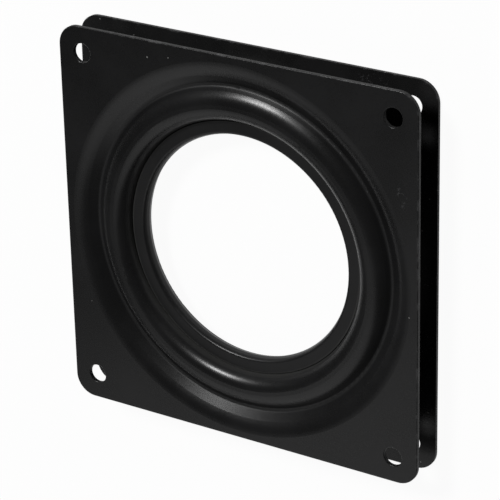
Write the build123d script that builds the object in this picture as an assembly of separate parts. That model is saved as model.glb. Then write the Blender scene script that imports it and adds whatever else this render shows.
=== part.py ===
from build123d import *
from math import asin, pi, radians, sin, tan
import os

# Turntable bearing, in millimetres.
# It lies flat: +Z is the axis that it turns about, and the origin is at the centre of its underside.
# Two equal pressed plates face each other across a ring of balls, and a folded ring through the
# opening clasps the inner rims of both, so that they turn freely but stay together.

# Pressed plates
plate_side = 150.0
plate_corner_radius = 8.0
sheet = 1.5
edge_round = 0.3
hole_diameter = 7.3
hole_inset = 10.0

# Ball race
ball_diameter = 11.11
ball_clearance = 0.145
ball_spacing = 0.2
race_diameter = 112.2
crown_drop = 0.3
outer_flank_angle = 42.5
inner_flank_angle = 80.0
inner_shoulder_radius = 5.4

# Dished bed round the race
dish_depth = 4.0
dish_angle = 30.0
dish_bend_radius = 11.0
dish_foot_radius = 1.2

# Retaining ring and the plate rims that it clasps
strip = 0.8
rim_gap = 0.3
flange_clearance = 0.12
side_clearance = 0.22
flange_width = 4.7
rim_bend_radius = 0.25
arm_angle = 70.0
arm_clearance = 0.35
nose_bend_radius = 0.4
flange_bend_radius = 0.3
flange_edge_round = 0.2

# Heights of the middle of the sheet or strip
race_radius = ball_diameter / 2 + ball_clearance
bead_radius = race_radius + sheet / 2
middle = bead_radius + sheet / 2 + crown_drop
height = 2 * middle
face_level = height - sheet / 2
crown_level = middle + bead_radius
dish_foot_level = face_level - dish_depth
rim_level = middle + rim_gap / 2 + sheet / 2
flange_level = rim_level + sheet / 2 + flange_clearance + strip / 2


def run(rise, angle):
    """How far a line at an angle to the level goes for a rise."""
    return rise / tan(radians(angle))


def shoulder(radius, angle):
    """How far a rounded corner reaches to each side of its point, where the line turns by an angle."""
    return radius * tan(radians(angle / 2))


# Radii of the corners from the turning axis
race_pitch_radius = race_diameter / 2
crown_outer = race_pitch_radius + shoulder(bead_radius, outer_flank_angle)
crown_inner = race_pitch_radius - shoulder(bead_radius, inner_flank_angle)
dish_foot = crown_outer + run(crown_level - dish_foot_level, outer_flank_angle)
dish_rim = dish_foot + run(dish_depth, dish_angle)
rim_corner = crown_inner - run(crown_level - rim_level, inner_flank_angle)
inner_flank_face = (
    rim_corner
    - sheet / 2 / sin(radians(inner_flank_angle))
    + run(flange_level - rim_level, inner_flank_angle)
)
flange_outer = inner_flank_face - side_clearance
arm_corner = flange_outer - flange_width
rim_inner = arm_corner + shoulder(strip / 2, arm_angle) + arm_clearance
nose_corner = arm_corner - run(flange_level - middle, arm_angle)
nose_middle_radius = nose_bend_radius + strip / 2
nose_rounding = nose_middle_radius / sin(radians(arm_angle)) - nose_middle_radius
opening_radius = nose_corner + nose_rounding - strip / 2


def pressed_section():
    """Section of a plate from the outside to its inner rim, as a sheet of even thickness."""
    middle_line = FilletPolyline(
        (plate_side, face_level),
        (dish_rim, face_level),
        (dish_foot, dish_foot_level),
        (crown_outer, crown_level),
        (crown_inner, crown_level),
        (rim_corner, rim_level),
        (rim_inner, rim_level),
        radius=[
            dish_bend_radius - sheet / 2,
            dish_foot_radius + sheet / 2,
            bead_radius,
            inner_shoulder_radius - sheet / 2,
            rim_bend_radius + sheet / 2,
        ],
    )
    return trace(middle_line, sheet)


def blank():
    """Outline of a plate as a block."""
    return extrude(RectangleRounded(plate_side, plate_side, plate_corner_radius), height)


def on_outline(edge):
    """Whether an edge of a trimmed plate's top belongs to its outline, not to the dish's rim."""
    return edge.geom_type == GeomType.LINE or edge.radius < dish_rim


def punch():
    """What a screw hole takes away: a straight hole that flares at the mounting face."""
    radius = hole_diameter / 2
    section = make_face(
        [
            Line((0, 0), (radius, 0)),
            Line((radius, 0), (radius, height - edge_round)),
            RadiusArc((radius, height - edge_round), (radius + edge_round, height), edge_round),
            Line((radius + edge_round, height), (radius + edge_round, height + sheet)),
            Line((radius + edge_round, height + sheet), (0, height + sheet)),
            Line((0, height + sheet), (0, 0)),
        ]
    )
    return revolve(Plane.XZ * section, Axis.Z)


def pressed_plate():
    """The upper plate: the turned section trimmed to a square, with the rounded upper edge that blanking
    leaves, and its screw holes."""
    hole_pitch = plate_side - 2 * hole_inset
    trimmed = revolve(Plane.XZ * pressed_section(), Axis.Z) & blank()
    top_edges = trimmed.edges().group_by(Axis.Z)[-1]
    plate = fillet(top_edges.filter_by(on_outline), edge_round)
    return plate - GridLocations(hole_pitch, hole_pitch, 2, 2) * punch()


def folded_ring():
    """The retaining ring: a strip folded to a V that points at the axis, with a flat flange each way."""
    lower_flange_level = height - flange_level
    flange_middle_radius = flange_bend_radius + strip / 2
    middle_line = FilletPolyline(
        (flange_outer, flange_level),
        (arm_corner, flange_level),
        (nose_corner, middle),
        (arm_corner, lower_flange_level),
        (flange_outer, lower_flange_level),
        radius=[flange_middle_radius, nose_middle_radius, flange_middle_radius],
    )
    ring = revolve(Plane.XZ * trace(middle_line, strip), Axis.Z)
    rims = ring.edges().filter_by(GeomType.CIRCLE).group_by(lambda edge: edge.radius)[-1]
    outer_rims = rims.sort_by(Axis.Z)
    return fillet([outer_rims[0], outer_rims[-1]], flange_edge_round)


def race_balls():
    """A full ring of balls, as many as fit with a little play between them."""
    count = int(pi / asin((ball_diameter + ball_spacing) / race_diameter))
    ball = Sphere(ball_diameter / 2)
    return [place * ball for place in PolarLocations(race_pitch_radius, count)]


top_plate = pressed_plate()
turn_over = Pos(0, 0, height) * Rot(180, 0, 0)
pieces = {
    "top_plate": top_plate,
    "bottom_plate": turn_over * top_plate,
    "retaining_ring": folded_ring(),
}
for number, ball in enumerate(race_balls(), start=1):
    pieces[f"ball_{number:02d}"] = Pos(0, 0, middle) * ball

os.makedirs("parts", exist_ok=True)
for name, piece in pieces.items():
    export_step(piece, f"parts/{name}.step")

print(f"height {height:.2f}, opening {2 * opening_radius:.2f} across")
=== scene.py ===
from math import cos, pi, radians, sin

import bpy
from mathutils import Matrix, Vector


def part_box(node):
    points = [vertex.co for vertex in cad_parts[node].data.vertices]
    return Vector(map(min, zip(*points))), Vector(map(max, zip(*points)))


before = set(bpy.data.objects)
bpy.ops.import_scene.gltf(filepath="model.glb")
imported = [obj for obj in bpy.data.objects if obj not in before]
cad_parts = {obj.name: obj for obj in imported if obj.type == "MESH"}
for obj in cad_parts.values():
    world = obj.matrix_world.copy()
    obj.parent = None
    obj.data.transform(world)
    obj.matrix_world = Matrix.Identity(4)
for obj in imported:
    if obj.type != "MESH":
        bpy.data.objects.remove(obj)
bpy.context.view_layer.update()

MM = 0.001

# Camera, in the axes of the upper plate: it looks along the plate's normal after a turn to the right, a lift
# towards +Y and a small roll
CAMERA_TURN = 33.36
CAMERA_LIFT = 24.16
CAMERA_ROLL = -1.32
CAMERA_DISTANCE = 0.953
CAMERA_AIM = (0.00104, -0.00119)
CAMERA_LENS = 189.5
SENSOR = 36.0

# Lamps: where each stands as seen from the part, its width, and the light that it gives a surface facing it,
# where 1 shows a colour as it is written
LAMP_DISTANCE = 2.4
KEY = {"towards": (-0.309, 0.601, 0.737), "width": 0.64, "level": 0.80}
SIDE = {"towards": (0.80, 0.54, 0.20), "width": 0.60, "level": 0.035}
FRONT = {"towards": (-0.27, -0.74, 0.62), "width": 2.10, "level": 0.14}

# Room: the light of its walls, and how high above the horizon they show white before they fade
WHITE = (1.0, 1.0, 1.0, 1.0)
SKY_LEVEL = 0.056
BACKDROP_HEIGHT = 0.10
BACKDROP_FADE = 1.3 * BACKDROP_HEIGHT

# Floor: how much of it glows for the eye, the rest being plain matt
FLOOR_SIZE = 60.0
FLOOR_COLOUR = (0.95, 0.95, 0.95, 1.0)
FLOOR_GLOW = 0.95

# Sizes of the part, in millimetres
plate_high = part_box("top_plate")[1]
HALF_SIDE = plate_high.x / MM
HEIGHT = plate_high.z / MM
CORNER_RADIUS = 8.0
GROOVE_RADIUS = 49.1
FOOT_RADIUS = 62.8
NOSE_RADIUS = 43.6

# Where most values of a noise lie, from its dark patches to its pale ones
NOISE_CORE = (0.35, 0.65)
NOISE_SPAN = (0.3, 0.7)

# Paint: colours, and the sizes of its patches in millimetres
PAINT_DARK = (0.0062, 0.0062, 0.0064, 1.0)
PAINT_PALE = (0.0092, 0.0092, 0.0095, 1.0)
PAINT_WORN = (0.040, 0.040, 0.041, 1.0)
# Tone of settled dust, and of the painted light that lifts the shade in the groove
DUST_AND_GROOVE_LIGHT = (0.060, 0.060, 0.058, 1.0)
DUST = (0.35, 0.35, 0.34, 1.0)
PAINT_IOR = 1.4
CLOUD_SIZE = 22.0
CLOUD_ROUGHNESS = 0.02
GRAIN_ROUGHNESS = 0.05
SMEAR_SIZE = 4.0

# Walls that face neither up nor down are dull: the normal's upright share from steep to level, and what a steep
# wall adds to the roughness and keeps of the gloss
STEEP_SHARE = (0.35, 0.75)
STEEP_ROUGHNESS = 0.20
LEVEL_SPECULAR = 0.5
STEEP_SPECULAR = 0.22
NOSE_FADE = 0.2

# Wear on the plates' outer edges, by the distance from the outline in millimetres and the smear's value
WEAR_REACH = (-0.7, -0.2)
WEAR_PATCHES = (0.50, 0.62)

# Painted light lifting the groove's shade, a paler and duller band, by the distance from the groove's middle,
# thicker paint in the crease at the foot of the dish, and dust that has settled on what faces up
GROOVE_LIGHT_REACH = (0.25, 0.9)
CREASE_REACH = (0.5, 1.1)
GROOVE_LIGHT_SHARE = 0.5
UPWARD_SHARE = (0.5, 0.9)
SETTLED_LEAST = 0.6
SETTLED_MOST = 1.4

# Fine dust: the cell that holds one speck, the speck's edge as a share of it, and single larger specks as place
# and radius
SPECK_SPACING = 3.0
SPECK_EDGE = (0.06, 0.12)
SPECK_SHARE = 0.6
SPECKS = [
    ((-36.0, 68.7, 15.0), 0.35),
    ((-26.9, 70.0, 15.0), 0.25),
    ((-17.9, 57.5, 11.6), 0.30),
    ((71.5, -8.3, 15.0), 0.30),
    ((60.9, 27.1, 12.6), 0.35),
]

# Scuffs: the size of their crooked scratches and of the breaks in them, and the patches as centre and half size
SCUFF_FADE = (0.6, 1.0)
SCRATCH_SIZE = 2.2
SCRATCH_WIDTH = (0.01, 0.03)
BREAK_SIZE = 1.3
BREAKS = (0.48, 0.56)
SCUFFS = [
    ((68.5, 37.5, 15.0), (2.4, 6.0, 2.0)),
    ((49.0, 71.5, 1.5), (7.0, 2.5, 2.0)),
]

# Steel of the balls, under a film of oil
STEEL_DARK = (0.42, 0.42, 0.43, 1.0)
STEEL_PALE = (0.60, 0.60, 0.61, 1.0)
STEEL_ROUGHNESS = (0.12, 0.24)
OIL_SIZE = 3.0
LAPPING_SIZE = 0.4
LAPPING_DEPTH = 0.002


class Nodes:
    """A material's node tree, with short calls to add to it."""

    def __init__(self, tree):
        self.tree = tree
        tree.nodes.clear()

    def add(self, kind, inputs, **settings):
        node = self.tree.nodes.new(kind)
        for name, value in settings.items():
            setattr(node, name, value)
        for socket, value in inputs.items():
            self.feed(node.inputs[socket], value)
        return node

    def feed(self, socket, value):
        """Links another node's output to a socket, or writes a plain value on it."""
        if isinstance(value, bpy.types.NodeSocket):
            self.tree.links.new(value, socket)
        else:
            socket.default_value = value

    def math(self, operation, *values):
        node = self.add("ShaderNodeMath", dict(enumerate(values)), operation=operation)
        return node.outputs[0]

    def vector_math(self, operation, first, second):
        node = self.add("ShaderNodeVectorMath", {0: first, 1: second}, operation=operation)
        return node.outputs["Value" if operation == "DISTANCE" else "Vector"]

    def place(self):
        """Where a point lies in the part's own axes, in millimetres."""
        coordinate = self.add("ShaderNodeTexCoord", {})
        scaled = self.add(
            "ShaderNodeVectorMath", {0: coordinate.outputs["Object"], "Scale": 1 / MM}, operation="SCALE"
        )
        return scaled.outputs[0]

    def noise(self, place, size, detail=2.0, roughness=0.5):
        """Even noise from 0 to 1 whose patches measure about size millimetres."""
        inputs = {"Vector": place, "Scale": 1 / size, "Detail": detail, "Roughness": roughness}
        return self.add("ShaderNodeTexNoise", inputs).outputs["Fac"]

    def span(self, value, low, high, to_low=0.0, to_high=1.0):
        """Maps low to high onto to_low to to_high, held at the ends."""
        inputs = {"Value": value, "From Min": low, "From Max": high, "To Min": to_low, "To Max": to_high}
        return self.add("ShaderNodeMapRange", inputs, clamp=True).outputs[0]

    def fade(self, value, low, high):
        """1 up to low, falling to 0 at high."""
        return self.span(value, low, high, 1.0, 0.0)

    def length(self, *values):
        """How long the vector of one to three values is."""
        vector = self.add("ShaderNodeCombineXYZ", dict(enumerate(values)))
        return self.add("ShaderNodeVectorMath", {0: vector.outputs[0]}, operation="LENGTH").outputs["Value"]

    def most(self, *values):
        """The largest of some values."""
        largest = values[0]
        for value in values[1:]:
            largest = self.math("MAXIMUM", largest, value)
        return largest

    def blend(self, share, first, second):
        node = self.add("ShaderNodeMix", {}, data_type="RGBA")
        self.feed(node.inputs["Factor"], share)
        self.feed(node.inputs[6], first)
        self.feed(node.inputs[7], second)
        return node.outputs[2]

    def bump(self, height, depth):
        """Bump whose full height is depth millimetres."""
        inputs = {"Height": height, "Distance": depth * MM, "Strength": 1.0}
        return self.add("ShaderNodeBump", inputs).outputs[0]

    def surface(self, shader):
        output = self.add("ShaderNodeOutputMaterial", {})
        self.tree.links.new(shader.outputs[0], output.inputs["Surface"])


def new_material(name):
    material = bpy.data.materials.new(name)
    material.use_nodes = True
    return material, Nodes(material.node_tree)


def outline_distance(nodes, x, y):
    """How far outside the plates' outline a point lies: below 0 inside it."""
    past_x = nodes.math("SUBTRACT", nodes.math("ABSOLUTE", x), HALF_SIDE - CORNER_RADIUS)
    past_y = nodes.math("SUBTRACT", nodes.math("ABSOLUTE", y), HALF_SIDE - CORNER_RADIUS)
    beyond = nodes.length(nodes.math("MAXIMUM", past_x, 0.0), nodes.math("MAXIMUM", past_y, 0.0))
    within = nodes.math("MINIMUM", nodes.math("MAXIMUM", past_x, past_y), 0.0)
    return nodes.math("SUBTRACT", nodes.math("ADD", beyond, within), CORNER_RADIUS)


def dust(nodes, place, share):
    """Fine specks of dust: one in each cell, of which a share is kept, and the single larger ones."""
    cells = nodes.add("ShaderNodeTexVoronoi", {"Vector": place, "Scale": 1 / SPECK_SPACING})
    near = nodes.fade(cells.outputs["Distance"], *SPECK_EDGE)
    chance = nodes.add("ShaderNodeSeparateColor", {0: cells.outputs["Color"]}).outputs[0]
    marks = [nodes.math("MULTIPLY", near, nodes.span(chance, 1.0 - share, 1.0 - 0.8 * share))]
    for spot, radius in SPECKS:
        marks.append(nodes.fade(nodes.vector_math("DISTANCE", place, spot), 0.5 * radius, radius))
    return nodes.most(*marks)


def scuffs(nodes, place):
    """Patches of short crooked scratches."""
    marks = []
    for centre, half_size in SCUFFS:
        offset = nodes.vector_math("SUBTRACT", place, centre)
        scaled = nodes.vector_math("DIVIDE", offset, half_size)
        away = nodes.add("ShaderNodeVectorMath", {0: scaled}, operation="LENGTH").outputs["Value"]
        marks.append(nodes.fade(away, *SCUFF_FADE))
    from_thread = nodes.math("SUBTRACT", nodes.noise(place, SCRATCH_SIZE, detail=3.0), 0.5)
    thread = nodes.fade(nodes.math("ABSOLUTE", from_thread), *SCRATCH_WIDTH)
    broken = nodes.span(nodes.noise(place, BREAK_SIZE), *BREAKS)
    return nodes.math("MULTIPLY", nodes.math("MULTIPLY", nodes.most(*marks), broken), thread)


def paint(name, roughness, settled, dust_share, grain_size=0.9, grain_depth=0.002):
    """Thin black stoved paint on pressed steel, satin and faintly clouded, and duller on steep walls but for
    the ring's nose. The plates' outer edges are worn, the groove round the retaining ring is painted paler and
    duller, a painted light that lifts its shade, and settled dust greys what faces up."""
    material, nodes = new_material(name)
    place = nodes.place()
    x, y = nodes.add("ShaderNodeSeparateXYZ", {0: place}).outputs[:2]
    radius = nodes.length(x, y)
    cloud = nodes.noise(place, CLOUD_SIZE, detail=3.0)
    grain = nodes.noise(place, grain_size, detail=3.0, roughness=0.6)
    smear = nodes.noise(place, SMEAR_SIZE, detail=4.0, roughness=0.6)

    edge = nodes.span(outline_distance(nodes, x, y), *WEAR_REACH)
    worn = nodes.math("MULTIPLY", edge, nodes.span(smear, *WEAR_PATCHES))
    # Painted light: a paler band lifts the shade in the groove round the retaining ring, which is duller there
    # too
    from_groove = nodes.math("ABSOLUTE", nodes.math("SUBTRACT", radius, GROOVE_RADIUS))
    painted_groove_light = nodes.fade(from_groove, *GROOVE_LIGHT_REACH)
    from_foot = nodes.math("ABSOLUTE", nodes.math("SUBTRACT", radius, FOOT_RADIUS))
    creased = nodes.fade(from_foot, *CREASE_REACH)

    normal = nodes.add("ShaderNodeNewGeometry", {}).outputs["Normal"]
    upward = nodes.add("ShaderNodeSeparateXYZ", {0: normal}).outputs["Z"]
    wall = nodes.fade(nodes.math("ABSOLUTE", upward), *STEEP_SHARE)
    beyond_nose = nodes.span(radius, NOSE_RADIUS - NOSE_FADE, NOSE_RADIUS)
    steep = nodes.math("MULTIPLY", wall, beyond_nose)
    patches = nodes.span(smear, *NOISE_SPAN, SETTLED_LEAST * settled, SETTLED_MOST * settled)
    dusty = nodes.math("MULTIPLY", nodes.span(upward, *UPWARD_SHARE), patches)

    # Settled dust on what faces up, and the painted light in the groove
    dust_and_groove_light = nodes.most(dusty, nodes.math("MULTIPLY", painted_groove_light, GROOVE_LIGHT_SHARE))
    specked = nodes.math("MULTIPLY", dust(nodes, place, dust_share), SPECK_SHARE)
    tone = nodes.blend(nodes.span(cloud, *NOISE_CORE), PAINT_DARK, PAINT_PALE)
    tone = nodes.blend(dust_and_groove_light, tone, DUST_AND_GROOVE_LIGHT)
    tone = nodes.blend(nodes.most(worn, scuffs(nodes, place)), tone, PAINT_WORN)
    tone = nodes.blend(specked, tone, DUST)

    smooth = nodes.span(cloud, *NOISE_SPAN, roughness - CLOUD_ROUGHNESS, roughness + CLOUD_ROUGHNESS)
    dulled = nodes.span(nodes.most(steep, painted_groove_light, creased), 0.0, 1.0, 0.0, STEEP_ROUGHNESS)
    matt = nodes.math("ADD", dulled, nodes.span(grain, *NOISE_SPAN, 0.0, GRAIN_ROUGHNESS))
    shader = nodes.add(
        "ShaderNodeBsdfPrincipled",
        {
            "Base Color": tone,
            "Roughness": nodes.math("ADD", smooth, matt),
            "Specular IOR Level": nodes.span(steep, 0.0, 1.0, LEVEL_SPECULAR, STEEP_SPECULAR),
            "Normal": nodes.bump(grain, grain_depth),
            "IOR": PAINT_IOR,
        },
    )
    nodes.surface(shader)
    return material


def steel(name):
    """Bearing steel with a thin film of oil."""
    material, nodes = new_material(name)
    place = nodes.place()
    film = nodes.noise(place, OIL_SIZE, detail=3.0)
    lapping = nodes.noise(place, LAPPING_SIZE, detail=4.0)
    shader = nodes.add(
        "ShaderNodeBsdfPrincipled",
        {
            "Base Color": nodes.blend(nodes.span(film, *NOISE_CORE), STEEL_DARK, STEEL_PALE),
            "Metallic": 1.0,
            "Roughness": nodes.span(film, *NOISE_SPAN, *STEEL_ROUGHNESS),
            "Normal": nodes.bump(lapping, LAPPING_DEPTH),
        },
    )
    nodes.surface(shader)
    return material


def cover(node, material):
    """Gives a CAD node its finish."""
    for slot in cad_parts[node].material_slots:
        slot.material = material


def seen_rays(nodes):
    """1 for the rays that show a surface to the eye or in a reflection, 0 for those that carry its light."""
    path = nodes.add("ShaderNodeLightPath", {})
    kinds = ("Is Camera Ray", "Is Glossy Ray", "Is Transmission Ray")
    return nodes.most(*(path.outputs[kind] for kind in kinds))


def add_floor():
    """A pale floor, which also glows for the eye and for reflections: it shows white round a soft shadow."""
    bpy.ops.mesh.primitive_plane_add(size=FLOOR_SIZE)
    floor = bpy.context.object
    floor.name = "floor"
    material, nodes = new_material("floor")
    matt = nodes.add("ShaderNodeBsdfDiffuse", {"Color": FLOOR_COLOUR})
    glow = nodes.add("ShaderNodeEmission", {"Color": WHITE, "Strength": 1.0})
    share = nodes.math("MULTIPLY", seen_rays(nodes), FLOOR_GLOW)
    nodes.surface(nodes.add("ShaderNodeMixShader", {"Fac": share, 1: matt.outputs[0], 2: glow.outputs[0]}))
    floor.data.materials.append(material)


def add_world():
    """A dim room whose walls show white near the horizon, behind the part."""
    world = bpy.data.worlds.new("room")
    bpy.context.scene.world = world
    world.use_nodes = True
    nodes = Nodes(world.node_tree)
    direction = nodes.add("ShaderNodeTexCoord", {}).outputs["Generated"]
    height = nodes.add("ShaderNodeSeparateXYZ", {0: direction}).outputs["Z"]
    white = nodes.math("MULTIPLY", seen_rays(nodes), nodes.fade(height, BACKDROP_HEIGHT, BACKDROP_FADE))
    strength = nodes.span(white, 0.0, 1.0, SKY_LEVEL, 1.0)
    background = nodes.add("ShaderNodeBackground", {"Color": WHITE, "Strength": strength})
    output = nodes.add("ShaderNodeOutputWorld", {})
    nodes.tree.links.new(background.outputs[0], output.inputs["Surface"])


def add_lamp(name, towards, width, level):
    """A round soft lamp that faces the part."""
    data = bpy.data.lights.new(name, "AREA")
    data.shape = "DISK"
    data.size = width
    data.energy = level * (pi * LAMP_DISTANCE) ** 2
    lamp = bpy.data.objects.new(name, data)
    back = Vector(towards).normalized()
    lamp.location = back * LAMP_DISTANCE
    lamp.rotation_mode = "QUATERNION"
    lamp.rotation_quaternion = back.to_track_quat("Z", "Y")
    bpy.context.scene.collection.objects.link(lamp)


def add_camera():
    """The photograph's camera: a long lens from the right and above, with the plate's +Y nearly upright."""
    turn, lift, roll = map(radians, (CAMERA_TURN, CAMERA_LIFT, CAMERA_ROLL))
    back = Vector((sin(turn) * cos(lift), sin(lift), cos(turn) * cos(lift)))
    level = Vector((cos(turn), 0, -sin(turn)))
    right = cos(roll) * level + sin(roll) * back.cross(level)
    up = back.cross(right)
    data = bpy.data.cameras.new("camera")
    data.lens = CAMERA_LENS
    data.sensor_width = SENSOR
    camera = bpy.data.objects.new("camera", data)
    aim = Vector((*CAMERA_AIM, HEIGHT * MM / 2))
    axes = Matrix((right, up, back)).transposed()
    camera.matrix_world = Matrix.Translation(aim + CAMERA_DISTANCE * back) @ axes.to_4x4()
    bpy.context.scene.collection.objects.link(camera)
    bpy.context.scene.camera = camera


cover("top_plate", paint("top_plate_black", roughness=0.26, settled=0.0, dust_share=0.012))
cover("bottom_plate", paint("bottom_plate_black", roughness=0.26, settled=0.04, dust_share=0.10))
ring_paint = paint("ring_black", roughness=0.34, settled=0.0, dust_share=0.0, grain_size=1.6, grain_depth=0.004)
cover("retaining_ring", ring_paint)
ball_finish = steel("ball_bright")
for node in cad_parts:
    if node.startswith("ball"):
        cover(node, ball_finish)

add_floor()
add_world()
add_lamp("key", **KEY)
add_lamp("side", **SIDE)
add_lamp("front", **FRONT)
add_camera()
bpy.context.scene.view_settings.view_transform = "Standard"
